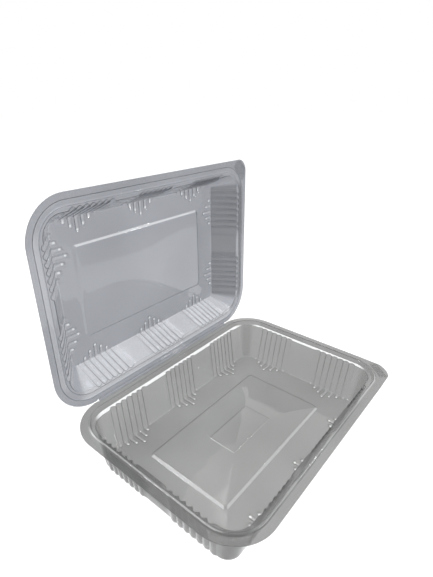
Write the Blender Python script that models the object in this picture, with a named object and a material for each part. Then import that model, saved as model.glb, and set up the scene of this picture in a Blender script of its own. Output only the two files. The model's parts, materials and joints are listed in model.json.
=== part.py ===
"""Hinged clear takeaway meal container, standing open: a deep base tray and a shallow lid tray,
formed from one sheet and joined along one long side by a living hinge.

Frame: metres, +Z up, +X along the hinge. The base lies on Z = 0 in front of the hinge (-Y), and the
lid leans back on the other side (+Y). The origin is the middle of the whole footprint.

Each tray is drawn in its own frame, in millimetres: a runs along the hinge, b across the tray, both
from the tray's middle, and h is the height above the flange on the side that holds the food.
"""
import math

import bmesh
import bpy
import numpy as np
from mathutils import Matrix, Vector

MM = 0.001

# Driving dimensions, in millimetres and degrees.
LENGTH = 220.0            # flange, along the hinge
WIDTH = 152.0             # flange, across one tray
SHEET = 0.6               # wall thickness
HINGE_GAP = 0.3           # between the two flanges at the fold, and between them when shut
OPEN_ANGLE = 93.5         # between the base and the lid as it stands
FLANGE_RADIUS = 30.0
BASE_TAB = (13.0, 0.4)    # the lifting corner, at +a and away from the hinge: how far along each edge
LID_TAB = (11.0, 0.0)     # it begins, and how straight it is cut, from 0 for an arc to 1

# Wall flutes: groups of upright hollows that turn in under the floor as fingers.
FLUTE_PITCH = 5.25
FLUTES_PER_GROUP = 7
FLUTE_DEPTH = 2.0         # outwards, where the wall starts
FLUTE_TOE_DEPTH = 0.7     # outwards, where the wall meets the floor
HOLLOW_SHARE = 0.23       # of the pitch, from a ridge line down to the hollow's flat bottom
FINGER_DEPTH = 1.0        # below the floor
FINGER_MIDDLE = 12.2      # length of a group's middle finger
FINGER_STEP = 3.5         # each next finger is shorter by this
FINGER_LEAST = 0.9        # how far the ridge lines between groups reach in
FINGER_RAMP = (0.72, 0.95)  # shares of its length where a finger starts to climb and where it ends
TOE_LAND = (0.4, 0.8)     # how far in from the wall's foot those two rings lie
LONG_SIDE_GROUPS = (-59.0, 0.0, 59.0)
SHORT_SIDE_GROUPS = (-30.3, 30.3)

WALL_TOP_INSET = 12.0     # flange edge to the top of the wall
WALL_TOP_RADIUS = 14.5
CORNER_STEPS = 6          # straight pieces in a quarter turn

# Rim sections: (inset from the flange edge, height). They end at the ledge above the wall.
BASE_RIM = ((0.0, 0.0), (5.1, 0.0), (5.9, 1.0), (7.3, 1.0), (8.4, -2.5))
LID_RIM = ((0.0, 0.0), (4.6, 0.0), (5.0, -1.3), (8.2, -1.3), (8.7, -0.5))

# Trays: depth of the floor, its inset on the short and the long sides, its corner radius, and how
# far towards +a it lies off the middle; the raised panel in the floor with its slope and its own
# corner radius; the base's label panel.
PANEL_RADIUS = 3.0
LABEL_RADIUS = 0.8
BASE_TRAY = dict(rim=BASE_RIM, depth=36.5, inset_a=16.0, inset_b=17.5, radius=9.5, skew=0.0,
                 panel=(135.0, 72.0), panel_height=2.0, panel_slope=2.6,
                 label=(50.0, 24.0), label_height=0.5, tab=BASE_TAB)
LID_TRAY = dict(rim=LID_RIM, depth=22.0, inset_a=26.0, inset_b=21.0, radius=3.8, skew=2.7,
                panel=(134.0, 73.0), panel_height=1.4, panel_slope=2.4,
                label=None, label_height=0.0, tab=LID_TAB)

FOLD_HEIGHT = BASE_TRAY["depth"] + FINGER_DEPTH + SHEET + HINGE_GAP / 2


def clear_scene():
    for thing in list(bpy.data.objects):
        bpy.data.objects.remove(thing, do_unlink=True)


def clear_plastic(name, colour):
    """Glossy see-through plastic."""
    material = bpy.data.materials.new(name)
    material.use_nodes = True
    shader = material.node_tree.nodes["Principled BSDF"]
    shader.inputs["Base Color"].default_value = colour
    shader.inputs["Roughness"].default_value = 0.12
    shader.inputs["Metallic"].default_value = 0.0
    shader.inputs["Transmission Weight"].default_value = 0.9
    shader.inputs["IOR"].default_value = 1.57
    return material


# ---------------------------------------------------------------- outlines

def flute_stations(groups):
    """Points along one side: (place, hollow from 0 to 1, finger length). Each flute is a ridge
    line, two points of its hollow, and the next ridge line."""
    stations = []
    for centre in groups:
        for flute in range(FLUTES_PER_GROUP):
            place = centre + (flute - FLUTES_PER_GROUP / 2) * FLUTE_PITCH
            rank = abs(flute - (FLUTES_PER_GROUP - 1) / 2)
            length = FINGER_MIDDLE - rank * FINGER_STEP
            shared = min(length, stations[-1][2]) if flute else FINGER_LEAST
            stations.append((place, 0.0, shared))
            stations.append((place + HOLLOW_SHARE * FLUTE_PITCH, 1.0, length))
            stations.append((place + (1 - HOLLOW_SHARE) * FLUTE_PITCH, 1.0, length))
        end = centre + FLUTES_PER_GROUP / 2 * FLUTE_PITCH
        stations.append((end, 0.0, FINGER_LEAST))
    return stations


def ring(inset_a, inset_b, radius, height, fluted=False, recess=0.0, reach=0.0, dip=0.0,
         skew=0.0, tab=None):
    """A closed loop of (a, b, h) points, anticlockwise from the middle of the +a side.

    recess moves the hollows outwards, reach moves the floor's fingers inwards, as a share of
    their length, and dip lowers the hollows. skew moves both short sides towards +a. tab is the
    lifting corner's own size and straightness.
    """
    half_a = LENGTH / 2 - inset_a
    half_b = WIDTH / 2 - inset_b
    sides = (                                       # outward direction, half size, run, groups
        (Vector((1, 0)), half_a + skew, Vector((0, 1)), SHORT_SIDE_GROUPS),
        (Vector((0, 1)), half_b, Vector((-1, 0)), LONG_SIDE_GROUPS),
        (Vector((-1, 0)), half_a - skew, Vector((0, -1)), SHORT_SIDE_GROUPS),
        (Vector((0, -1)), half_b, Vector((1, 0)), LONG_SIDE_GROUPS),
    )
    points = []
    for turn, (outward, half, run, groups) in enumerate(sides):
        if fluted:
            for place, hollow, length in flute_stations(groups):
                spot = outward * (half + recess * hollow - reach * length) + run * place
                points.append((spot.x, spot.y, height - dip * hollow))
        corner, straight = tab if tab and turn == 0 else (radius, 0.0)
        other = sides[(turn + 1) % 4]
        centre = outward * (half - corner) + other[0] * (other[1] - corner)
        for step in range(CORNER_STEPS + 1):
            share = step / CORNER_STEPS
            angle = math.radians(90.0 * (turn + share))
            around = Vector((math.cos(angle), math.sin(angle)))
            cut = outward * (1 - share) + other[0] * share
            spot = centre + corner * around.lerp(cut, straight)
            points.append((spot.x, spot.y, height))
    return points


def panel_ring(size, height, radius=PANEL_RADIUS, steps=2):
    """A plain rounded rectangle in the middle of the floor."""
    points = []
    for turn, (sign_a, sign_b) in enumerate(((1, 1), (-1, 1), (-1, -1), (1, -1))):
        for step in range(steps + 1):
            angle = math.radians(90.0 * (turn + step / steps))
            points.append((sign_a * (size[0] / 2 - radius) + radius * math.cos(angle),
                           sign_b * (size[1] / 2 - radius) + radius * math.sin(angle), height))
    return points


def offset_section(section, thickness):
    """How far each corner of a section moves to lie one sheet thickness below it."""
    points = np.array(section)
    directions = np.diff(points, axis=0)
    directions /= np.linalg.norm(directions, axis=1)[:, None]
    normals = np.stack([directions[:, 1], -directions[:, 0]], axis=1)
    moves = [normals[0] * thickness]
    for before, after in zip(normals[:-1], normals[1:]):
        moves.append((before + after) * thickness / (1.0 + before @ after))
    moves.append(normals[-1] * thickness)
    return [(float(shift), float(drop)) for shift, drop in moves]


# ---------------------------------------------------------------- the formed sheet

def sheet_rings(tray, under):
    """The rings of one face of the sheet, from the flange edge to the panels: the upper face, or
    the face under it."""
    rim = tray["rim"]
    ledge = rim[-1][1]
    floor = -tray["depth"]
    wall_inset = (tray["inset_a"] + tray["inset_b"]) / 2
    section = list(rim) + [(WALL_TOP_INSET, ledge), (wall_inset, floor), (LENGTH / 2, floor)]
    moves = offset_section(section, SHEET if under else 0.0)

    coarse = []
    for index, (inset, height) in enumerate(rim):
        shift, drop = moves[index]
        if index == 0:
            shift = 0.0
            drop = -SHEET if under else 0.0
        inset += shift
        coarse.append(ring(inset, inset, FLANGE_RADIUS - inset, height + drop,
                           tab=tray["tab"] if index == 0 else None))

    top_shift, top_drop = moves[len(rim)]
    toe_shift, toe_drop = moves[len(rim) + 1]
    below = floor + (-SHEET if under else 0.0)
    foot = dict(fluted=True, skew=tray["skew"])
    ramp, end = FINGER_RAMP
    fine = [
        ring(WALL_TOP_INSET + top_shift, WALL_TOP_INSET + top_shift, WALL_TOP_RADIUS - top_shift,
             ledge + top_drop, fluted=True, recess=FLUTE_DEPTH),
        ring(tray["inset_a"] + toe_shift, tray["inset_b"] + toe_shift, tray["radius"] - toe_shift,
             floor + toe_drop, recess=FLUTE_TOE_DEPTH, dip=FINGER_DEPTH, **foot),
        ring(tray["inset_a"] + TOE_LAND[0], tray["inset_b"] + TOE_LAND[0],
             tray["radius"] - TOE_LAND[0], below, reach=ramp, dip=FINGER_DEPTH, **foot),
        ring(tray["inset_a"] + TOE_LAND[1], tray["inset_b"] + TOE_LAND[1],
             tray["radius"] - TOE_LAND[1], below, reach=end, **foot),
    ]

    length, width = tray["panel"]
    slope = tray["panel_slope"]
    raised = below + tray["panel_height"]
    panels = [panel_ring((length, width), below),
              panel_ring((length - 2 * slope, width - 2 * slope), raised)]
    if tray["label"]:
        label = tray["label"]
        edge = tray["label_height"]
        panels.append(panel_ring(label, raised, LABEL_RADIUS, 1))
        panels.append(panel_ring((label[0] - edge, label[1] - edge), raised + edge, LABEL_RADIUS, 1))
    return coarse, fine, panels


def add_loop(mesh, points):
    """A closed loop of vertices, with its edges."""
    verts = [mesh.verts.new(point) for point in points]
    edges = [mesh.edges.new((verts[i - 1], verts[i])) for i in range(len(verts))]
    return verts, edges


def band(mesh, outer, inner):
    """Triangle pairs between two loops of equal count."""
    count = len(outer)
    for i in range(count):
        j = (i + 1) % count
        mesh.faces.new((outer[i], outer[j], inner[j]))
        mesh.faces.new((outer[i], inner[j], inner[i]))


def flat_fill(mesh, *loops):
    """Fills the flat region between two loops, or inside one."""
    edges = [edge for loop in loops for edge in loop]
    bmesh.ops.triangle_fill(mesh, use_beauty=True, use_dissolve=False, edges=edges,
                            normal=(0.0, 0.0, 1.0))


def skin(mesh, tray, under):
    """One face of the sheet. Returns the loop at the flange edge."""
    coarse, fine, panels = sheet_rings(tray, under)
    rim_loops = [add_loop(mesh, points) for points in coarse]
    wall_loops = [add_loop(mesh, points) for points in fine]
    panel_loops = [add_loop(mesh, points) for points in panels]
    for outer, inner in zip(rim_loops[:-1], rim_loops[1:]):
        band(mesh, outer[0], inner[0])
    flat_fill(mesh, rim_loops[-1][1], wall_loops[0][1])
    for outer, inner in zip(wall_loops[:-1], wall_loops[1:]):
        band(mesh, outer[0], inner[0])
    flat_fill(mesh, wall_loops[-1][1], panel_loops[0][1])
    band(mesh, panel_loops[0][0], panel_loops[1][0])
    if len(panel_loops) > 2:
        flat_fill(mesh, panel_loops[1][1], panel_loops[2][1])
        band(mesh, panel_loops[2][0], panel_loops[3][0])
    flat_fill(mesh, panel_loops[-1][1])
    return rim_loops[0][0]


def formed_tray(name, tray, material, side):
    """A tray as one closed sheet. Its origin is on the fold line; it lies open, food side up,
    towards -Y for side -1 and +Y for side 1."""
    mesh = bmesh.new()
    band(mesh, skin(mesh, tray, under=False), skin(mesh, tray, under=True))
    bmesh.ops.recalc_face_normals(mesh, faces=mesh.faces)
    away = side * (WIDTH + HINGE_GAP) / 2
    place = Matrix.Translation((0.0, away * MM, -HINGE_GAP / 2 * MM))
    turn = Matrix.Diagonal((MM, side * MM, MM, 1.0))
    bmesh.ops.transform(mesh, matrix=place @ turn, verts=mesh.verts)
    if side < 0:
        bmesh.ops.reverse_faces(mesh, faces=mesh.faces)
    data = bpy.data.meshes.new(name)
    mesh.to_mesh(data)
    mesh.free()
    data.materials.append(material)
    data.set_sharp_from_angle(angle=math.radians(35.0))
    part = bpy.data.objects.new(name, data)
    bpy.context.scene.collection.objects.link(part)
    return part


def footprint_middle(parts):
    """The middle, along Y, of what the parts cover."""
    bpy.context.view_layer.update()
    reach = [(part.matrix_world @ vertex.co).y for part in parts for vertex in part.data.vertices]
    return (min(reach) + max(reach)) / 2


def build():
    clear_scene()
    fold = bpy.data.objects.new("fold_line", None)
    bpy.context.scene.collection.objects.link(fold)
    base = formed_tray("base_tray", BASE_TRAY, clear_plastic("base_plastic", (0.80, 0.82, 0.81, 1)), -1)
    lid = formed_tray("lid_tray", LID_TRAY, clear_plastic("lid_plastic", (0.80, 0.82, 0.84, 1)), 1)
    base.parent = fold
    lid.parent = fold
    lid.rotation_euler.x = math.pi - math.radians(OPEN_ANGLE)
    fold.location = (0.0, -footprint_middle((base, lid)), FOLD_HEIGHT * MM)


build()
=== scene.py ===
# %% [markdown]
# # A clear takeaway meal container, open
#
# The real container is one thin sheet of clear plastic, heated and sucked into a mould. Everything on it
# is a fold of that sheet: the flat flange, the bead that the lid snaps over, the ledge, the fluted walls
# and the raised panel. So this script makes two formed sheets, a living hinge that bends between them,
# and the small ridges of the lifting corners, and then a clear plastic that shows every fold.

import json
import math

import bmesh
import bpy
from mathutils import Matrix, Vector


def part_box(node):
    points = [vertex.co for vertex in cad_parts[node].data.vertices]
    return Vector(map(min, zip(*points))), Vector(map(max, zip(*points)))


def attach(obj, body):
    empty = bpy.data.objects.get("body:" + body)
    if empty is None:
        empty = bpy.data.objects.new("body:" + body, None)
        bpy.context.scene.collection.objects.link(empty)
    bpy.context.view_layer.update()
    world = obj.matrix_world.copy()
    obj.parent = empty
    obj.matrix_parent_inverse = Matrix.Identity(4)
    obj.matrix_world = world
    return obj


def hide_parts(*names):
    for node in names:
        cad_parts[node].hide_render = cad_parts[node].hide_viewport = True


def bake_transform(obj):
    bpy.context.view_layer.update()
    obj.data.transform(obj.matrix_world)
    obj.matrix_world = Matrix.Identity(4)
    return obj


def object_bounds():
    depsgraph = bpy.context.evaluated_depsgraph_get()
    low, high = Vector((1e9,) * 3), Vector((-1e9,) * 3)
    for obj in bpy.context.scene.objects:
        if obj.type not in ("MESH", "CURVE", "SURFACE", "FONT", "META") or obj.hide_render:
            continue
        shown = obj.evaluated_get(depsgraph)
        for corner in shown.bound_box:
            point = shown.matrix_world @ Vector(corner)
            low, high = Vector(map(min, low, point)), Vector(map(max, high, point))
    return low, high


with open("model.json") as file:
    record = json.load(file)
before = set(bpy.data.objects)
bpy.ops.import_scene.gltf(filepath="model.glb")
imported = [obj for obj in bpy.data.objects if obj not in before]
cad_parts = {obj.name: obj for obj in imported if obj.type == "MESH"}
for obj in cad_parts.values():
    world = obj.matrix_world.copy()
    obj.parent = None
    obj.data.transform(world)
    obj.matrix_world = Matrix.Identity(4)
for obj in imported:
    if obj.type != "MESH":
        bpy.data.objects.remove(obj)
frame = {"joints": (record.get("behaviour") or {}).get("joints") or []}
cad_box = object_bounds()

# %% [markdown]
# ## Sizes
#
# The frame says where the base, the lid and the fold are. The tray's own sizes are in millimetres in the
# tray's plane: `a` runs along the hinge, `b` across the tray with +b away from the hinge, both from the
# middle, and `h` is the height above the flange on the side that holds the food. One matrix for each
# tray then turns these into metres in the frame.

# %% Read the frame's sizes
MM = 0.001
hinge = frame["joints"][0]
fold_y, fold_z = hinge["pos_m"][1], hinge["pos_m"][2]
open_angle = math.radians(hinge["range_deg"][1])
base_low, base_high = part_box("base_tray")

HINGE_GAP = 0.3
LENGTH = (base_high.x - base_low.x) / MM
WIDTH = (fold_y - base_low.y) / MM - HINGE_GAP / 2
TRAY_MIDDLE = (WIDTH + HINGE_GAP) / 2
print(f"one tray is {LENGTH:.1f} x {WIDTH:.1f} mm, the lid stands at {math.degrees(open_angle):.1f} degrees")

# %% The two matrices that place a tray
to_fold = Matrix.Translation((0.0, fold_y, fold_z))
flat_tray = Matrix.Diagonal((MM, MM, MM, 1.0)) @ Matrix.Translation((0.0, TRAY_MIDDLE, -HINGE_GAP / 2))
place_base = to_fold @ Matrix.Diagonal((1.0, -1.0, 1.0, 1.0)) @ flat_tray
place_lid = to_fold @ Matrix.Rotation(math.pi - open_angle, 4, "X") @ flat_tray

# %% Named sizes of the sheet
SHEET = 0.4               # what the real sheet measures before it stretches
FLANGE_RADIUS = 30.0
BASE_TAB = (13.0, 0.4)    # the lifting corner, at +a and +b: how far along each edge it begins, and
LID_TAB = (11.0, 0.0)     # how straight it is cut, from 0 for an arc to 1
WALL_TOP_INSET = 12.0
WALL_TOP_RADIUS = 14.5
HINGE_CUT = 1.4           # the flange stops this far from the fold, where the hinge strip begins

FLUTE_PITCH = 5.25
FLUTES_PER_GROUP = 7
GROUP_HALF = FLUTES_PER_GROUP / 2 * FLUTE_PITCH
LONG_GROUP_STEP = 59.0    # from the middle group of a long side to the next one
SHORT_GROUP_PLACE = 30.3  # from the middle of a short side to each of its two groups
FLUTE_DEPTH = 2.0         # outwards, where the wall starts
FLUTE_TOE_DEPTH = 0.7     # outwards, where the wall meets the floor
FINGER_DEPTH = 1.0        # below the floor
FINGER_MIDDLE = 12.2      # length of a group's middle finger
FINGER_STEP = 3.5         # each next finger is shorter by this
FINGER_NARROWING = 0.25   # how much narrower a finger is than its flute
# Painted light on the fingers: a painted highlight on the middle and tip, painted shade on the edge.
FINGER_PAINTED_HIGHLIGHT = 0.12       # how much lighter its middle, darker its edge and lighter its tip look
FINGER_PAINTED_SHADE = 0.30
TIP_PAINTED_HIGHLIGHT = 0.8

# Depth, insets and corner radius say where a tray's wall meets its floor, and skew how far that lies off
# the middle, towards +a. The painted-light entries for ledge, slope, bead and wall are (a, b, share): the
# sides that face (a, b) are painted lighter by that share, or painted darker if it is negative, as painted
# reflections and painted shade of what they would mirror.
# A section's corners, from the flange edge inwards: inset from the edge, height, and how far from the
# corner its rounding begins. The ledge follows the last one.
BASE_RIM = ((0.0, 0.0, 0.0), (5.1, 0.0, 0.35), (5.9, 1.0, 0.5), (7.3, 1.0, 0.5), (8.4, -2.5, 0.7))
LID_RIM = ((0.0, 0.0, 0.0), (4.6, 0.0, 0.25), (5.0, -1.3, 0.4), (8.2, -1.3, 0.4), (8.7, -0.5, 0.3))
BASE = dict(rim=BASE_RIM, depth=36.5, inset_a=16.0, inset_b=17.5, radius=9.5, skew=0.0, toe_round=2.2,
            panel=(135.0, 72.0), panel_height=2.0, panel_slope=2.6, label=(50.0, 24.0), label_height=0.5,
            # painted light of the base: painted highlights on ledge, slopes and bead, and walls painted
            # lighter
            tab=BASE_TAB, painted_ledge_highlight=((0, -1, 0.75), (1, 0, 0.75)),
            painted_slope_highlight=((-1, 0, 0.4), (0, 1, 0.3)),
            painted_wall_light=((1, 0, 0.10), (0, -1, 0.11), (-1, 0, 0.22), (0, 1, 0.08)),
            painted_bead_highlight=((-1, 0, 0.45), (0, 1, 0.2)))
LID = dict(rim=LID_RIM, depth=22.0, inset_a=26.0, inset_b=21.0, radius=3.8, skew=2.7, toe_round=1.6,
           panel=(134.0, 73.0), panel_height=1.4, panel_slope=2.4, label=None, label_height=0.0,
           # painted light of the lid: painted highlights on ledge and slope, painted shade on its +a wall
           tab=LID_TAB, painted_ledge_highlight=((0, -1, 0.30),), painted_slope_highlight=((0, 1, 0.35),),
           painted_wall_light=((1, 0, -0.42), (0, -1, 0.22), (-1, 0, 0.12)), painted_bead_highlight=())

# %% [markdown]
# ## The smooth sheet
#
# A vacuum-formed tray is a section swept round a rounded rectangle. It could be made from a box with
# bevels, but a bevel can't hold the bead, the ledge and a slightly leaning wall at once. Rings are
# simpler: every ring has the same number of points, so a skin between two rings is only quads.
# The points stand close together where the flutes will be pressed, and further apart elsewhere.

# %% Where the points stand along one side
STEPS_PER_FLUTE = 8
PLAIN_STEP = 4.0
CORNER_STEPS = 16
REFERENCE = (LENGTH / 2 - WALL_TOP_INSET - WALL_TOP_RADIUS, WIDTH / 2 - WALL_TOP_INSET - WALL_TOP_RADIUS)


def side_places(centres, half):
    """Places along a side from -half to half: fine in the flute groups, coarse between them."""
    places = []
    at = -half
    for centre in centres:
        start = centre - GROUP_HALF
        steps = max(1, round((start - at) / PLAIN_STEP))
        places += [at + (start - at) * i / steps for i in range(steps)]
        count = FLUTES_PER_GROUP * STEPS_PER_FLUTE
        places += [start + 2 * GROUP_HALF * i / count for i in range(count)]
        at = centre + GROUP_HALF
    steps = max(1, round((half - at) / PLAIN_STEP))
    return places + [at + (half - at) * i / steps for i in range(steps + 1)]


LONG_PLACES = side_places((-LONG_GROUP_STEP, 0.0, LONG_GROUP_STEP), REFERENCE[0])
SHORT_PLACES = side_places((-SHORT_GROUP_PLACE, SHORT_GROUP_PLACE), REFERENCE[1])
print(f"{len(LONG_PLACES)} points on a long side, {len(SHORT_PLACES)} on a short one")


# %% One ring of the sheet
def slide(place, reference, available, needed):
    """A place kept where it is as far as needed, and squeezed beyond that, so that it fits the side."""
    needed = min(needed, available - 0.4)
    if abs(place) <= needed:
        return place
    beyond = (abs(place) - needed) * (available - needed) / (reference - needed)
    return math.copysign(needed + beyond, place)


def ring(inset_a, inset_b, radius, height, skew=0.0, needed=(0.0, 0.0), tab=None, hinge_cut=0.0):
    """A closed loop, anticlockwise from the +a side: (point, outward, along, side) for each point.
    side is 1 on the long sides, 2 on the short ones and 0 in the corners. skew moves both short sides
    towards +a."""
    half_a, half_b = LENGTH / 2 - inset_a, WIDTH / 2 - inset_b
    sides = [half_a + skew, half_b, half_a - skew, half_b]
    loop = []
    for turn in range(4):
        short = turn % 2 == 0
        outward = Vector((round(math.cos(turn * math.pi / 2)), round(math.sin(turn * math.pi / 2))))
        run = Vector((-outward.y, outward.x))
        reach, ahead, behind = sides[turn], sides[(turn + 1) % 4], sides[turn - 1]
        places = SHORT_PLACES if short else LONG_PLACES
        for index, place in enumerate(places):
            at = slide(place, REFERENCE[1 if short else 0], (ahead if place > 0 else behind) - radius,
                       needed[1 if short else 0])
            cut = hinge_cut if turn == 3 and 0 < index < len(places) - 1 else 0.0
            spot = outward * (reach - cut) + run * at
            loop.append(((spot.x, spot.y, height), outward, at, 2.0 if short else 1.0))
        corner, straight = tab if tab and turn == 0 else (radius, 0.0)
        centre = outward * (reach - corner) + run * (ahead - corner)
        for step in range(1, CORNER_STEPS):
            share = step / CORNER_STEPS
            angle = math.pi / 2 * (turn + share)
            around = Vector((math.cos(angle), math.sin(angle)))
            spot = centre + corner * around.lerp(outward * (1 - share) + run * share, straight)
            loop.append(((spot.x, spot.y, height), around, 0.0, 0.0))
    return loop


# %% The section as a list of rings
ROUND_STEPS = 4


def rounded(corners):
    """A section with each corner replaced by a short curve. A corner is (values, rounding); the values
    are the two insets, the height, the corner radius and the skew, and they all curve together."""
    points = [Vector(corners[0][0])]
    for before, (corner, rounding), after in zip(corners[:-2], corners[1:-1], corners[2:]):
        middle, start, end = Vector(corner), Vector(before[0]), Vector(after[0])
        back = middle + (start - middle) * min(0.48, rounding / max((start - middle).length, 1e-6))
        on = middle + (end - middle) * min(0.48, rounding / max((end - middle).length, 1e-6))
        for step in range(ROUND_STEPS + 1):
            t = step / ROUND_STEPS
            points.append(back * (1 - t) ** 2 + middle * 2 * t * (1 - t) + on * t ** 2)
    points.append(Vector(corners[-1][0]))
    return points


def filled(points, longest):
    """The same section with more points, so that no step is longer than the longest."""
    result = [points[0]]
    for start, end in zip(points[:-1], points[1:]):
        steps = max(1, math.ceil((end - start).length / longest))
        result += [start.lerp(end, i / steps) for i in range(1, steps + 1)]
    return result


FLUTE_REACH = (LONG_GROUP_STEP + GROUP_HALF, SHORT_GROUP_PLACE + GROUP_HALF)
FLOOR_STEPS = 12
FLOOR_STEP = 0.93
LONGEST_STEP = 5.0
SINK_STARTS = 0.94        # share of the way down the wall where the fingers begin to sink
HOLLOW_ENDS = 2.5         # how far into the floor a wall's hollow still reaches outwards


def tray_section(tray):
    """The rings from the flange edge to the floor's panel: their sizes, the share of the flute that is
    pressed out and down there, how far in from the wall they are, and whether they are the ledge."""
    ledge = tray["rim"][-1][1]
    floor = -tray["depth"]
    corners = [((i, i, h, FLANGE_RADIUS - i, 0.0), r) for i, h, r in tray["rim"]]
    corners.append(((WALL_TOP_INSET, WALL_TOP_INSET, ledge, WALL_TOP_RADIUS, 0.0), 0.8))
    corners.append(((tray["inset_a"], tray["inset_b"], floor, tray["radius"], tray["skew"]),
                    tray["toe_round"]))
    inner = 6.0
    corners.append(((tray["inset_a"] + inner, tray["inset_b"] + inner, floor,
                     max(tray["radius"] - inner, 1.0), tray["skew"]), 0.0))
    section = rounded(corners)[:-1]
    rim_end = tray["rim"][-1][0]
    rows = []
    for inset_a, inset_b, height, radius, skew in filled(section, LONGEST_STEP):
        down = min(max((ledge - height) / (ledge - floor), 0.0), 1.0)
        out = min(max((inset_a - rim_end) / (WALL_TOP_INSET - rim_end), 0.0), 1.0)
        sink = min(max((down - SINK_STARTS) / (1.0 - SINK_STARTS), 0.0), 1.0)
        on_wall = inset_a >= WALL_TOP_INSET - 0.5
        reach = max(inset_a - tray["inset_a"], 0.0)
        on_ledge = abs(height - ledge) < 0.06 and rim_end - 0.1 < inset_a < WALL_TOP_INSET + 0.1
        rows.append(dict(ring=(inset_a, inset_b, radius, height, skew), out=out, down=down, sink=sink,
                         reach=reach, needed=FLUTE_REACH if on_wall else (0.0, 0.0), on_ledge=on_ledge))
    start = rows[-1]["reach"]
    for step in range(1, FLOOR_STEPS + 1):
        reach = start + step * FLOOR_STEP
        left = max(FINGER_MIDDLE - reach, 0.0) / FINGER_STEP * FLUTE_PITCH + FLUTE_PITCH / 2
        needed = (LONG_GROUP_STEP + left, SHORT_GROUP_PLACE + left)
        needed = (min(needed[0], FLUTE_REACH[0]), min(needed[1], FLUTE_REACH[1]))
        rows.append(dict(ring=(tray["inset_a"] + reach, tray["inset_b"] + reach,
                               max(tray["radius"] - reach, 1.0), floor, tray["skew"]), on_ledge=False,
                         out=max(0.0, 1.0 - reach / HOLLOW_ENDS), down=1.0, sink=1.0, reach=reach,
                         needed=needed))
    return rows


# %% Panel rings, inside the floor
PANEL_RADIUS = 3.0
LABEL_RADIUS = 0.8
LABEL_SLOPE = 0.5
# How a slope climbs: shares of its width and of its height. The two middle rings are its steep part.
SLOPE_STEPS = ((0.0, 0.0), (0.14, 0.04), (0.28, 0.18), (0.72, 0.82), (0.86, 0.96), (1.0, 1.0))
STEEP_STEPS = (2, 3)


def panel_ring(size, height, radius):
    """The same kind of ring, round a rectangle of that size in the middle of the floor."""
    return ring(LENGTH / 2 - size[0] / 2, WIDTH / 2 - size[1] / 2, radius, height)


def stepped_panel(size, height, rise, slope, radius):
    """Rings that climb from the floor to a raised rectangle, with a soft foot and a soft shoulder."""
    rings = []
    for share, up in SLOPE_STEPS:
        smaller = (size[0] - 2 * slope * share, size[1] - 2 * slope * share)
        rings.append(panel_ring(smaller, height + rise * up, radius))
    return rings


# Painted light: where a painted reflection begins and stops fading round a corner.
PAINTED_LIGHT_FADES = 0.98        # cosine of the angle from a direction where its light begins to fade
PAINTED_LIGHT_ENDS = 0.86         # and where it ends


def gleam(outward, directions):
    """How much painted light a point gets: each direction paints the side that faces it lighter by its share,
    darker where the share is negative, fading round the corners.
    """
    span = PAINTED_LIGHT_FADES - PAINTED_LIGHT_ENDS
    return sum(share * min(max((outward @ Vector((a, b)) - PAINTED_LIGHT_ENDS) / span, 0.0), 1.0)
               for a, b, share in directions)


# %% The smooth sheet as a mesh with attributes
def smooth_sheet(name, tray):
    """The unfluted tray in the tray's plane, in millimetres, food side up. Its points carry what the
    flute press reads."""
    rings, facts, painted_rows = [], [], []
    for index, row in enumerate(tray_section(tray)):
        inset_a, inset_b, radius, height, skew = row["ring"]
        rings.append(ring(inset_a, inset_b, radius, height - SHEET / 4, skew, needed=row["needed"],
                          tab=tray["tab"] if index == 0 else None,
                          hinge_cut=HINGE_CUT if index == 0 else 0.0))
        facts.append((row["out"], row["down"], row["sink"], row["reach"]))
        # Each ring's painted highlights and painted shade: the ledge's, the walls' and the bead's entries.
        on_wall = row["down"] > 0.02 and row["reach"] < 0.5
        painted_rows.append(tray["painted_ledge_highlight"] if row["on_ledge"] else tray["painted_wall_light"] if on_wall else
                      tray["painted_bead_highlight"] if height > 0.8 else ())
    floor = -tray["depth"] - SHEET / 4
    inner = stepped_panel(tray["panel"], floor, tray["panel_height"], tray["panel_slope"], PANEL_RADIUS)
    raised = floor + tray["panel_height"]
    if tray["label"]:
        inner += stepped_panel(tray["label"], raised, tray["label_height"], LABEL_SLOPE, LABEL_RADIUS)
    rings += inner
    facts += [(0.0, 1.0, 0.0, 0.0)] * len(inner)
    # The steep rings of each panel slope get painted highlights.
    painted_rows += [tray["painted_slope_highlight"] if i % len(SLOPE_STEPS) in STEEP_STEPS else ()
               for i in range(len(inner))]

    count = len(rings[0])
    verts = [point for loop in rings for point, _, _, _ in loop]
    faces = []
    for row in range(len(rings) - 1):
        for i in range(count):
            j = (i + 1) % count
            faces.append((row * count + i, row * count + j, (row + 1) * count + j, (row + 1) * count + i))
    faces.append([(len(rings) - 1) * count + i for i in range(count)])
    mesh = bpy.data.meshes.new(name)
    mesh.from_pydata(verts, [], faces)

    def attribute(label, kind, values, field):
        made = mesh.attributes.new(label, kind, "POINT")
        made.data.foreach_set(field, values)

    attribute("outward", "FLOAT_VECTOR",
              [x for loop in rings for _, out, _, _ in loop for x in (out.x, out.y, 0.0)], "vector")
    attribute("along", "FLOAT", [along for loop in rings for _, _, along, _ in loop], "value")
    attribute("side", "FLOAT", [side for loop in rings for _, _, _, side in loop], "value")
    # The painted light of each point, stored for the plastic's colour.
    attribute("gleam", "FLOAT", [gleam(Vector(out), ways) for loop, ways in zip(rings, painted_rows)
                                 for _, out, _, _ in loop], "value")
    for label, column in (("out", 0), ("down", 1), ("sink", 2), ("reach", 3)):
        attribute(label, "FLOAT", [fact[column] for fact in facts for _ in range(count)], "value")
    print(f"{name}: {len(rings)} rings of {count} points, {len(faces)} faces")
    return mesh


# %% [markdown]
# ## A short way to write node trees
#
# A node tree is a formula drawn with boxes. Writing one in Python takes a line for every box and a line
# for every wire, which hides the formula. This small class adds a node and returns its output, so that
# the formula reads from the inside out, for geometry nodes and for shader nodes alike.

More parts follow.
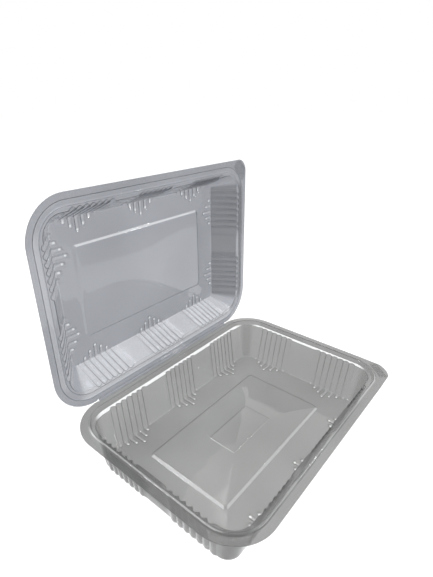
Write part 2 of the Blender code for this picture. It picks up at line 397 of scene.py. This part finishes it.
# %% The tree writer
class Tree:
    """Adds nodes to a tree. A value given to a node is a number, a tuple or another node's output."""

    def __init__(self, tree):
        self.tree = tree

    def wire(self, socket, value):
        if isinstance(value, bpy.types.NodeSocket):
            self.tree.links.new(value, socket)
        elif value is not None:
            socket.default_value = value

    def add(self, kind, *values, out=0, named=None, **settings):
        node = self.tree.nodes.new(kind)
        for key, value in settings.items():
            setattr(node, key, value)
        for index, value in enumerate(values):
            self.wire(node.inputs[index], value)
        for key, value in (named or {}).items():
            self.wire(node.inputs[key], value)
        return node.outputs[out]

    def math(self, operation, *values, clamp=False):
        return self.add("ShaderNodeMath", *values, operation=operation, use_clamp=clamp)

    def read(self, name, kind="FLOAT"):
        return self.add("GeometryNodeInputNamedAttribute", name, data_type=kind)

    def sockets(self, inputs=(), outputs=()):
        for name, kind, *default in inputs:
            made = self.tree.interface.new_socket(name, in_out="INPUT", socket_type=kind)
            if default:
                made.default_value = default[0]
        for name, kind in outputs:
            self.tree.interface.new_socket(name, in_out="OUTPUT", socket_type=kind)
        entry = self.tree.nodes.new("NodeGroupInput")
        self.exit = self.tree.nodes.new("NodeGroupOutput")
        return entry.outputs


def geometry_tree(name):
    return Tree(bpy.data.node_groups.new(name, "GeometryNodeTree"))


def modifier_inputs(modifier, **values):
    """Sets a Geometry Nodes modifier's inputs through the identifiers of its sockets."""
    for item in modifier.node_group.interface.items_tree:
        if item.item_type == "SOCKET" and item.in_out == "INPUT":
            key = item.name.lower().replace(" ", "_")
            if key in values:
                modifier[item.identifier] = values[key]


# %% [markdown]
# ## The flute press
#
# The walls are stiffened by groups of seven round hollows. Each hollow turns in under the floor as a
# finger with a round end, and the middle finger of a group is the longest, so that a group ends in a
# triangle. Modelling each one by hand would be slow and uneven. It is a rule, so Geometry Nodes press
# it into the smooth sheet: every point works out which flute it stands in, how far it is from that
# flute's middle line, and moves outwards on the wall or down in the floor. The press also adds a painted
# highlight on the finger's middle and tip and painted shade along its edge to the painted-light attribute.

# %% Build the flute press
def make_flute_press():
    tree = geometry_tree("flute press")
    given = tree.sockets(
        inputs=(("Geometry", "NodeSocketGeometry"), ("Pitch", "NodeSocketFloat"),
                ("Flutes", "NodeSocketFloat"), ("Long Group Step", "NodeSocketFloat"),
                ("Short Group Place", "NodeSocketFloat"), ("Top Depth", "NodeSocketFloat"),
                ("Toe Depth", "NodeSocketFloat"), ("Finger Depth", "NodeSocketFloat"),
                ("Middle Finger", "NodeSocketFloat"), ("Finger Step", "NodeSocketFloat"),
                ("Narrowing", "NodeSocketFloat"), ("Finger Light", "NodeSocketFloat"),
                ("Finger Dark", "NodeSocketFloat"), ("Tip Light", "NodeSocketFloat"),
                ("Material", "NodeSocketMaterial")),
        outputs=(("Geometry", "NodeSocketGeometry"),))
    m = tree.math
    along, side = tree.read("along"), tree.read("side")

    # How far along from the middle of its group a point is.
    step = given["Long Group Step"]
    group = m("MINIMUM", m("MAXIMUM", m("ROUND", m("DIVIDE", along, step)), -1.0), 1.0)
    from_long = m("SUBTRACT", along, m("MULTIPLY", group, step))
    from_short = m("SUBTRACT", m("ABSOLUTE", along), given["Short Group Place"])
    on_short = m("GREATER_THAN", side, 1.5)
    local = m("ADD", m("MULTIPLY", from_short, on_short),
              m("MULTIPLY", from_long, m("SUBTRACT", 1.0, on_short)))

    # Which flute that is, counted from the middle one, and how far it is from its middle line.
    pitch = given["Pitch"]
    last = m("MULTIPLY", m("SUBTRACT", given["Flutes"], 1.0), 0.5)
    flute = m("MINIMUM", m("MAXIMUM", m("ROUND", m("DIVIDE", local, pitch)), m("MULTIPLY", last, -1.0)), last)
    across = m("SUBTRACT", local, m("MULTIPLY", flute, pitch))
    half = m("MULTIPLY", pitch, 0.5)
    in_floor = m("MINIMUM", m("MULTIPLY", tree.read("reach"), 0.7), 1.0)

    # A finger ends in a half circle, so past its end the distance counts both ways.
    length = m("SUBTRACT", given["Middle Finger"], m("MULTIPLY", m("ABSOLUTE", flute), given["Finger Step"]))
    straight = m("MAXIMUM", m("SUBTRACT", length, half), 0.0)
    past = m("MAXIMUM", m("SUBTRACT", tree.read("reach"), straight), 0.0)
    distance = m("SQRT", m("ADD", m("MULTIPLY", across, across), m("MULTIPLY", past, past)))
    edge = m("MULTIPLY", half, m("SUBTRACT", 1.0, m("MULTIPLY", in_floor, given["Narrowing"])))
    share = m("MINIMUM", m("DIVIDE", distance, edge), 1.0)
    round_hollow = m("COSINE", m("MULTIPLY", share, math.pi / 2))
    flat_hollow = m("MULTIPLY", m("SUBTRACT", 1.0, share), 2.0, clamp=True)
    hollow = m("ADD", m("MULTIPLY", round_hollow, m("SUBTRACT", 1.0, in_floor)),
               m("MULTIPLY", flat_hollow, in_floor))
    hollow = m("MULTIPLY", hollow, m("GREATER_THAN", side, 0.5))

    # The hollow is deepest at the top of the wall.
    down = tree.read("down")
    depth = m("ADD", m("MULTIPLY", given["Top Depth"], m("SUBTRACT", 1.0, down)),
              m("MULTIPLY", given["Toe Depth"], down))
    push = m("MULTIPLY", m("MULTIPLY", depth, tree.read("out")), hollow)
    sink = m("MULTIPLY", m("MULTIPLY", given["Finger Depth"], tree.read("sink")), hollow)

    # Painted light: the finger's middle and tip are painted lighter as a painted highlight, and its edge
    # painted darker as painted shade.
    middle = m("MULTIPLY", m("SUBTRACT", 0.55, share), 4.0, clamp=True)
    rim = m("SUBTRACT", 1.0, m("DIVIDE", m("ABSOLUTE", m("SUBTRACT", share, 0.8)), 0.2), clamp=True)
    before = m("SUBTRACT", tree.read("reach"), straight)
    from_tip = m("SQRT", m("ADD", m("MULTIPLY", across, across), m("MULTIPLY", before, before)))
    tip = m("SUBTRACT", 1.0, m("DIVIDE", from_tip, 1.1), clamp=True)
    lit = m("MULTIPLY", middle, given["Finger Light"])
    lit = m("SUBTRACT", lit, m("MULTIPLY", rim, given["Finger Dark"]))
    lit = m("ADD", lit, m("MULTIPLY", tip, given["Tip Light"]))
    on_side = m("MULTIPLY", m("GREATER_THAN", side, 0.5), m("GREATER_THAN", tree.read("sink"), 0.5))
    lit = m("MULTIPLY", m("MULTIPLY", lit, in_floor), on_side)
    # Stores the fingers' painted highlights and painted shade with the rest of the painted light.
    with_painted_light = tree.add("GeometryNodeStoreNamedAttribute", given["Geometry"], named={
        "Name": "gleam", "Value": m("ADD", tree.read("gleam"), lit)})

    sideways = tree.add("ShaderNodeVectorMath", tree.read("outward", "FLOAT_VECTOR"),
                        named={"Scale": push}, operation="SCALE")
    drop = tree.add("ShaderNodeCombineXYZ", 0.0, 0.0, m("MULTIPLY", sink, -1.0))
    offset = tree.add("ShaderNodeVectorMath", sideways, drop, operation="ADD")

    pressed = tree.add("GeometryNodeSetPosition", with_painted_light, named={"Offset": offset})
    smooth = tree.add("GeometryNodeSetShadeSmooth", pressed)
    real = tree.add("GeometryNodeRealizeInstances", smooth)
    done = tree.add("GeometryNodeSetMaterial", real, named={"Material": given["Material"]})
    tree.wire(tree.exit.inputs[0], done)
    return tree.tree


flute_press = make_flute_press()
print("flute press:", len(flute_press.nodes), "nodes")


# %% Bake an object's modifiers into a plain mesh
def link(name, mesh):
    made = bpy.data.objects.new(name, mesh)
    bpy.context.scene.collection.objects.link(made)
    return made


def bake(thing):
    """Replaces an object's mesh by what its modifiers make of it, and removes them."""
    graph = bpy.context.evaluated_depsgraph_get()
    mesh = bpy.data.meshes.new_from_object(thing.evaluated_get(graph), depsgraph=graph)
    thing.modifiers.clear()
    thing.data = mesh
    mesh.name = thing.name
    return thing


def put(thing, matrix):
    """Moves the mesh, not the object, and keeps its faces pointing outwards if the move mirrors it."""
    thing.data.transform(matrix)
    if matrix.is_negative:
        thing.data.flip_normals()
    return thing


# %% [markdown]
# ## Clear plastic
#
# The sheet is clear and glossy, but it isn't colourless: stacked layers look grey, the lid a little
# bluer than the base. Forming stretches it unevenly, so its tone drifts slowly over the tray, and the
# mould leaves a very fine grain. Both are noise, at two scales. They are in one node group, because the
# base, the lid and the hinge all use them, each with its own colours. The mesh's painted-light attribute
# paints the colour whiter as a painted reflection where a ledge, slope, bead or finger tip would mirror a
# window, and darker as painted shade where a wall or a finger's edge would mirror a dark room, neither of
# which is in the scene.
# A Principled BSDF with transmission bends and mirrors light as plastic does. A small share of it is
# left diffuse, because handled sheet is a little hazy. Lamps pass through it by the Light Path node,
# or its shadow would be as dark as a solid's.

# %% The formed-sheet node group
def make_formed_sheet():
    tree = Tree(bpy.data.node_groups.new("formed sheet", "ShaderNodeTree"))
    given = tree.sockets(
        inputs=(("Thin Colour", "NodeSocketColor"), ("Thick Colour", "NodeSocketColor"),
                ("Gleam Colour", "NodeSocketColor", (1.0, 1.0, 1.0, 1.0)),
                ("Drift Scale", "NodeSocketFloat", 14.0), ("Grain Scale", "NodeSocketFloat", 900.0),
                ("Smoothest", "NodeSocketFloat", 0.03), ("Roughest", "NodeSocketFloat", 0.09)),
        outputs=(("Color", "NodeSocketColor"), ("Roughness", "NodeSocketFloat"),
                 ("Height", "NodeSocketFloat")))
    place = tree.add("ShaderNodeTexCoord", out=3)
    drift = tree.add("ShaderNodeTexNoise", named={"Vector": place, "Scale": given["Drift Scale"],
                                                  "Detail": 2.0, "Roughness": 0.4})
    grain = tree.add("ShaderNodeTexNoise", named={"Vector": place, "Scale": given["Grain Scale"],
                                                  "Detail": 2.0})
    spread = tree.add("ShaderNodeMapRange", drift, 0.32, 0.68, 0.0, 1.0)
    colour = tree.add("ShaderNodeMix", named={"Factor": spread, "A": given["Thin Colour"],
                                              "B": given["Thick Colour"]}, out=2, data_type="RGBA")
    rough = tree.add("ShaderNodeMapRange", grain, 0.3, 0.7, given["Smoothest"], given["Roughest"])
    waves = tree.add("ShaderNodeTexNoise", named={"Vector": place, "Scale": 60.0, "Detail": 1.0})
    height = tree.math("ADD", tree.math("MULTIPLY", waves, 0.8), tree.math("MULTIPLY", grain, 0.03))
    # Painted light: the attribute paints the colour towards white as painted highlights and towards black as
    # painted shade.
    painted_light_mask = tree.add("ShaderNodeAttribute", out=2, attribute_name="gleam", attribute_type="GEOMETRY")
    lighter = tree.math("MAXIMUM", painted_light_mask, 0.0)
    darker = tree.math("MULTIPLY", tree.math("MINIMUM", painted_light_mask, 0.0), -1.0)
    colour = tree.add("ShaderNodeMix", named={"Factor": lighter, "A": colour, "B": given["Gleam Colour"]},
                      out=2, data_type="RGBA")
    colour = tree.add("ShaderNodeMix", named={"Factor": darker, "A": colour, "B": (0.0, 0.0, 0.0, 1.0)},
                      out=2, data_type="RGBA")
    for socket, value in zip(tree.exit.inputs, (colour, rough, height)):
        tree.wire(socket, value)
    return tree.tree


formed_sheet = make_formed_sheet()


# %% The clear plastics
def clear_plastic(name, thin, thick):
    material = bpy.data.materials.new(name)
    material.use_nodes = True
    tree = Tree(material.node_tree)
    shader = tree.tree.nodes["Principled BSDF"]
    sheet = tree.tree.nodes.new("ShaderNodeGroup")
    sheet.node_tree = formed_sheet
    sheet.inputs["Thin Colour"].default_value = thin
    sheet.inputs["Thick Colour"].default_value = thick
    bump = tree.add("ShaderNodeBump", named={"Strength": 0.35, "Distance": 0.0004,
                                             "Height": sheet.outputs["Height"]})
    tree.wire(shader.inputs["Base Color"], sheet.outputs["Color"])
    tree.wire(shader.inputs["Roughness"], sheet.outputs["Roughness"])
    tree.wire(shader.inputs["Normal"], bump)
    shader.inputs["Metallic"].default_value = 0.0
    shader.inputs["IOR"].default_value = 1.5
    shader.inputs["Transmission Weight"].default_value = 0.86
    lamp_ray = tree.add("ShaderNodeLightPath", out=1)
    through = tree.add("ShaderNodeBsdfTransparent", (0.90, 0.91, 0.92, 1.0))
    mixed = tree.add("ShaderNodeMixShader", lamp_ray, shader.outputs["BSDF"], through)
    tree.wire(tree.tree.nodes["Material Output"].inputs["Surface"], mixed)
    return material


base_plastic = clear_plastic("base plastic", (0.335, 0.335, 0.33, 1.0), (0.285, 0.285, 0.28, 1.0))
lid_plastic = clear_plastic("lid plastic", (0.39, 0.40, 0.43, 1.0), (0.33, 0.34, 0.365, 1.0))
print("plastics:", base_plastic.name, lid_plastic.name)

# %% [markdown]
# ## The two trays
#
# Each tray is the smooth sheet, pressed, and then given its thickness by a Solidify modifier. The
# result is baked to a plain mesh and put in its place. It stands for the CAD tray, which has the same
# form with flat-bottomed flutes, a smaller toe rounding and sharper edges.

# %% Form the base and the lid
SHARP_ANGLE = math.radians(48.0)


def formed_tray(name, tray, material, matrix):
    thing = link(name, smooth_sheet(name, tray))
    press = thing.modifiers.new("flute press", "NODES")
    press.node_group = flute_press
    modifier_inputs(press, pitch=FLUTE_PITCH, flutes=float(FLUTES_PER_GROUP),
                    long_group_step=LONG_GROUP_STEP, short_group_place=SHORT_GROUP_PLACE,
                    top_depth=FLUTE_DEPTH, toe_depth=FLUTE_TOE_DEPTH, finger_depth=FINGER_DEPTH,
                    middle_finger=FINGER_MIDDLE, finger_step=FINGER_STEP, narrowing=FINGER_NARROWING,
                    finger_light=FINGER_PAINTED_HIGHLIGHT, finger_dark=FINGER_PAINTED_SHADE, tip_light=TIP_PAINTED_HIGHLIGHT,
                    material=material)
    wall = thing.modifiers.new("sheet thickness", "SOLIDIFY")
    wall.thickness = SHEET
    wall.offset = -1.0
    wall.use_even_offset = True
    bake(thing)
    for leftover in ("outward", "along", "side", "out", "down", "sink", "reach"):
        thing.data.attributes.remove(thing.data.attributes[leftover])
    put(thing, matrix)
    thing.data.set_sharp_from_angle(angle=SHARP_ANGLE)
    triangles = sum(len(face.vertices) - 2 for face in thing.data.polygons)
    print(f"{name}: {triangles} triangles")
    return thing


base_sheet = formed_tray("base_sheet", BASE, base_plastic, place_base)
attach(base_sheet, "base")
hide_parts("base_tray")

lid_sheet = formed_tray("lid_sheet", LID, lid_plastic, place_lid)
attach(lid_sheet, "lid")
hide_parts("lid_tray")

# %% [markdown]
# ## The living hinge
#
# Between the two flanges the sheet is creased, with a small bead on each side that keeps the crease
# straight. The real crease bends when the lid moves; here it is a piece of its own, built at the lid's
# open angle. Its section follows the base's flange, turns the corner at the fold and follows the lid's.

# %% Make the hinge strip
HINGE_HALF_LENGTH = 78.0
HINGE_STEPS = 80
BEAD_PLACE = 0.85
BEAD_HEIGHT = 0.28
BEAD_HALF = 0.32


def hinge_section():
    """Points across one half of the strip, food side, as (distance from the fold, height) pairs from the
    flange's edge to the fold; the base side and the lid side both use them."""
    half = []
    steps = 12
    for step in range(steps + 1):
        across = HINGE_CUT * (1 - step / steps)
        lift = max(0.0, 1 - ((across - BEAD_PLACE) / BEAD_HALF) ** 2) * BEAD_HEIGHT
        half.append((across, lift))
    return half


def hinge_strip():
    mesh = bmesh.new()
    rows = []
    to_base = to_fold @ Matrix.Diagonal((MM, -MM, MM, 1.0))
    to_lid = to_fold @ Matrix.Rotation(math.pi - open_angle, 4, "X") @ Matrix.Diagonal((MM, MM, MM, 1.0))
    section = hinge_section()
    spots = [(to_base, place, lift) for place, lift in section[:-1]]
    spots.append((to_base, 0.0, 0.0))
    spots += [(to_lid, place, lift) for place, lift in reversed(section[:-1])]
    for step in range(HINGE_STEPS + 1):
        along = -HINGE_HALF_LENGTH + 2 * HINGE_HALF_LENGTH * step / HINGE_STEPS
        rows.append([mesh.verts.new(matrix @ Vector((along, place + HINGE_GAP / 2, lift - 0.25)))
                     for matrix, place, lift in spots])
    for before, after in zip(rows[:-1], rows[1:]):
        for i in range(len(spots) - 1):
            mesh.faces.new((before[i], after[i], after[i + 1], before[i + 1]))
    bmesh.ops.recalc_face_normals(mesh, faces=mesh.faces)
    data = bpy.data.meshes.new("hinge_strip")
    mesh.to_mesh(data)
    mesh.free()
    thing = link("hinge_strip", data)
    data.materials.append(lid_plastic)
    wall = thing.modifiers.new("sheet thickness", "SOLIDIFY")
    wall.thickness = 0.3 * MM
    wall.offset = 0.0
    bake(thing)
    thing.data.shade_smooth()
    thing.data.set_sharp_from_angle(angle=SHARP_ANGLE)
    return thing


hinge_piece = hinge_strip()
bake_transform(hinge_piece)
print("hinge strip:", len(hinge_piece.data.polygons), "faces")

# %% [markdown]
# ## The lifting corners
#
# One corner of each flange is squared off to give the fingers something to pull, and small wavy ridges
# across it stop them slipping. They are one short ridge repeated, each cut to the corner's shape, so
# Geometry Nodes place them along the corner's diagonal.

# %% Build the grip tree
def make_grip():
    tree = geometry_tree("grip ridges")
    given = tree.sockets(
        inputs=(("Geometry", "NodeSocketGeometry"), ("Count", "NodeSocketInt"),
                ("Spacing", "NodeSocketFloat"), ("First", "NodeSocketFloat"),
                ("Apex", "NodeSocketFloat"), ("Longest", "NodeSocketFloat"), ("Wave", "NodeSocketFloat"),
                ("Ridge Width", "NodeSocketFloat"), ("Material", "NodeSocketMaterial")),
        outputs=(("Geometry", "NodeSocketGeometry"),))
    m = tree.math
    # One ridge of length 2 along X, which waves.
    line = tree.add("GeometryNodeCurvePrimitiveLine", named={"Start": (-1.0, 0.0, 0.0),
                                                             "End": (1.0, 0.0, 0.0)})
    line = tree.add("GeometryNodeResampleCurve", line, named={"Count": 24})
    # A row of points along the diagonal, each further out, with a shorter ridge.
    row = tree.add("GeometryNodeMeshLine", named={"Count": given["Count"], "Start Location": (0.0, 0.0, 0.0),
                                                  "Offset": (0.0, 0.0, 0.0)})
    index = tree.add("GeometryNodeInputIndex")
    out = m("ADD", given["First"], m("MULTIPLY", index, given["Spacing"]))
    row = tree.add("GeometryNodeSetPosition", row,
                   named={"Position": tree.add("ShaderNodeCombineXYZ", 0.0, out, 0.0)})
    half = m("MINIMUM", m("SUBTRACT", given["Apex"], out), given["Longest"])
    placed = tree.add("GeometryNodeInstanceOnPoints", row, named={
        "Instance": line, "Scale": tree.add("ShaderNodeCombineXYZ", half, 1.0, 1.0)})
    real = tree.add("GeometryNodeRealizeInstances", placed)
    spot = tree.add("GeometryNodeInputPosition")
    parts = tree.tree.nodes.new("ShaderNodeSeparateXYZ")
    tree.wire(parts.inputs[0], spot)
    wave = m("MULTIPLY", m("SINE", m("MULTIPLY", parts.outputs[0], 2.4)), given["Wave"])
    waved = tree.add("GeometryNodeSetPosition", real,
                     named={"Offset": tree.add("ShaderNodeCombineXYZ", 0.0, wave, 0.0)})
    profile = tree.add("GeometryNodeCurvePrimitiveCircle", named={"Resolution": 6, "Radius": 1.0})
    scale = tree.add("ShaderNodeCombineXYZ", given["Ridge Width"], given["Ridge Width"], 1.0)
    profile = tree.add("GeometryNodeTransform", profile, named={"Scale": scale})
    solid = tree.add("GeometryNodeCurveToMesh", waved, profile, named={"Fill Caps": True})
    solid = tree.add("GeometryNodeSetShadeSmooth", solid)
    done = tree.add("GeometryNodeSetMaterial", solid, named={"Material": given["Material"]})
    tree.wire(tree.exit.inputs[0], done)
    return tree.tree


grip_tree = make_grip()

# %% Place the grip ridges
BASE_RIDGES = 5
LID_RIDGES = 8
GRIP_HALF_LENGTH = 9.0
GRIP_WAVE = 0.22
GRIP_WIDTH = 0.26
GRIP_SPACING = 1.3
GRIP_FIRST = 26.4
GRIP_APEX = FLANGE_RADIUS * math.sqrt(2) - 1.6


def grip_ridges(name, material, matrix, count):
    """Ridges drawn along +b from the flange corner's own centre, then turned onto the diagonal."""
    thing = link(name, bpy.data.meshes.new(name))
    grip = thing.modifiers.new("grip", "NODES")
    grip.node_group = grip_tree
    modifier_inputs(grip, count=count, spacing=GRIP_SPACING, first=GRIP_FIRST, apex=GRIP_APEX,
                    longest=GRIP_HALF_LENGTH, wave=GRIP_WAVE, ridge_width=GRIP_WIDTH, material=material)
    bake(thing)
    corner = Matrix.Translation((LENGTH / 2 - FLANGE_RADIUS, WIDTH / 2 - FLANGE_RADIUS, -SHEET / 4))
    put(thing, matrix @ corner @ Matrix.Rotation(-math.pi / 4, 4, "Z"))
    print(f"{name}: {count} ridges, {len(thing.data.polygons)} faces")
    return thing


base_grip = grip_ridges("base_grip", base_plastic, place_base, BASE_RIDGES)
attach(base_grip, "base")

lid_grip = grip_ridges("lid_grip", lid_plastic, place_lid, LID_RIDGES)
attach(lid_grip, "lid")

# %% [markdown]
# ## Floor, background and light
#
# The container stands on a white table in front of white. The floor gives its own white light to the
# camera, and to rays that arrive off gloss or through the plastic, and takes the rest from the lamps,
# so that it is white but still darkens a little under the container. Gloss sees the table only as far
# as its edge. The world is white to the same rays, and a weaker light for the rest.

# %% White where it is seen
def seen_rays(tree, gloss=1.0):
    """1 for a ray from the camera or through glass, gloss for one off a glossy surface, 0 for any other."""
    path = tree.tree.nodes.new("ShaderNodeLightPath")
    mirrored = tree.math("MULTIPLY", path.outputs["Is Glossy Ray"], gloss)
    either = tree.math("MAXIMUM", path.outputs["Is Camera Ray"], mirrored)
    return tree.math("MAXIMUM", either, path.outputs["Is Transmission Ray"])


def make_world():
    world = bpy.data.worlds.new("white studio")
    world.use_nodes = True
    tree = Tree(world.node_tree)
    for node in list(tree.tree.nodes):
        tree.tree.nodes.remove(node)
    shown = tree.add("ShaderNodeBackground", (1.0, 1.0, 1.0, 1.0), 1.0)
    lighting = tree.add("ShaderNodeBackground", (0.95, 0.97, 1.0, 1.0), 0.55)
    mixed = tree.add("ShaderNodeMixShader", seen_rays(tree), lighting, shown)
    exit_node = tree.tree.nodes.new("ShaderNodeOutputWorld")
    tree.wire(exit_node.inputs["Surface"], mixed)
    bpy.context.scene.world = world


make_world()


# %% The floor
FLOOR_HALF = 4.0
FLOOR_GLOW = 0.86
TABLE_MIDDLE = (0.1, -0.1, 0.0)
TABLE_FADES = 0.42
TABLE_ENDS = 0.50
ROOM_SHARE = 0.15         # what gloss still shows of the floor beyond the table


def table_mask(tree):
    """1 near the middle and 0 beyond the table's edge: what gloss shows of the floor."""
    place = tree.add("ShaderNodeNewGeometry")
    apart = tree.add("ShaderNodeVectorMath", place, TABLE_MIDDLE, out=1, operation="DISTANCE")
    return tree.add("ShaderNodeMapRange", apart, TABLE_FADES, TABLE_ENDS, 1.0, ROOM_SHARE)


def make_floor():
    mesh = bpy.data.meshes.new("floor")
    corners = [(-1, -1), (1, -1), (1, 1), (-1, 1)]
    mesh.from_pydata([(x * FLOOR_HALF, y * FLOOR_HALF, cad_box[0].z) for x, y in corners], [], [(0, 1, 2, 3)])
    material = bpy.data.materials.new("white table")
    material.use_nodes = True
    tree = Tree(material.node_tree)
    shader = tree.tree.nodes["Principled BSDF"]
    shader.inputs["Base Color"].default_value = (0.32, 0.32, 0.32, 1.0)
    shader.inputs["Roughness"].default_value = 0.9
    shader.inputs["Specular IOR Level"].default_value = 0.0
    strength = tree.math("MULTIPLY", seen_rays(tree, table_mask(tree)), FLOOR_GLOW)
    glow = tree.add("ShaderNodeEmission", (1.0, 1.0, 1.0, 1.0), strength)
    both = tree.add("ShaderNodeAddShader", shader.outputs["BSDF"], glow)
    tree.wire(tree.tree.nodes["Material Output"].inputs["Surface"], both)
    mesh.materials.append(material)
    floor = link("floor", mesh)


make_floor()


# %% Soft lamps
def softbox(name, place, target, size, power, colour=(1.0, 1.0, 1.0)):
    lamp = bpy.data.lights.new(name, "AREA")
    lamp.shape = "RECTANGLE"
    lamp.size, lamp.size_y = size
    lamp.energy = power
    lamp.color = colour
    thing = bpy.data.objects.new(name, lamp)
    thing.location = place
    thing.rotation_euler = (Vector(target) - Vector(place)).to_track_quat("-Z", "Y").to_euler()
    bpy.context.scene.collection.objects.link(thing)
    return thing


ceiling = softbox("ceiling softbox", (0.1, 0.25, 1.3), (0.0, 0.0, 0.05), (0.9, 0.6), 14.0)
ceiling.visible_glossy = False
softbox("left spark", (-0.65, 0.50, 0.88), (0.0, 0.0, 0.05), (0.14, 0.14), 1.4, (0.93, 0.96, 1.0))
softbox("right spark", (0.75, -0.69, 0.65), (0.0, 0.0, 0.05), (0.10, 0.10), 1.0)

# %% [markdown]
# ## Camera
#
# The view is from above the base's near corner, close enough for the near corner to look large. The
# object isn't in the middle of the frame, so the camera has a small shift. Its place is measured from
# the fold.

# %% The camera
CAMERA_FROM_FOLD = Vector((-0.2192, -0.2083, 0.2051))
CAMERA_FORWARD = Vector((0.6689, 0.5805, -0.4643))
CAMERA_ROLL = math.radians(0.58)

lens = bpy.data.cameras.new("camera")
lens.sensor_fit = "HORIZONTAL"
lens.sensor_width = 36.0
lens.lens = 34.64
lens.shift_x = 0.0686
lens.shift_y = 0.0467
lens.clip_start = 0.01
lens.clip_end = 50.0
camera = bpy.data.objects.new("camera", lens)
camera.location = Vector((0.0, fold_y, fold_z)) + CAMERA_FROM_FOLD
camera.rotation_mode = "QUATERNION"
facing = CAMERA_FORWARD.to_track_quat("-Z", "Y")
camera.rotation_quaternion = facing @ Matrix.Rotation(CAMERA_ROLL, 4, "Z").to_quaternion()
bpy.context.scene.collection.objects.link(camera)
bpy.context.scene.camera = camera
bpy.context.scene.view_settings.view_transform = "Standard"
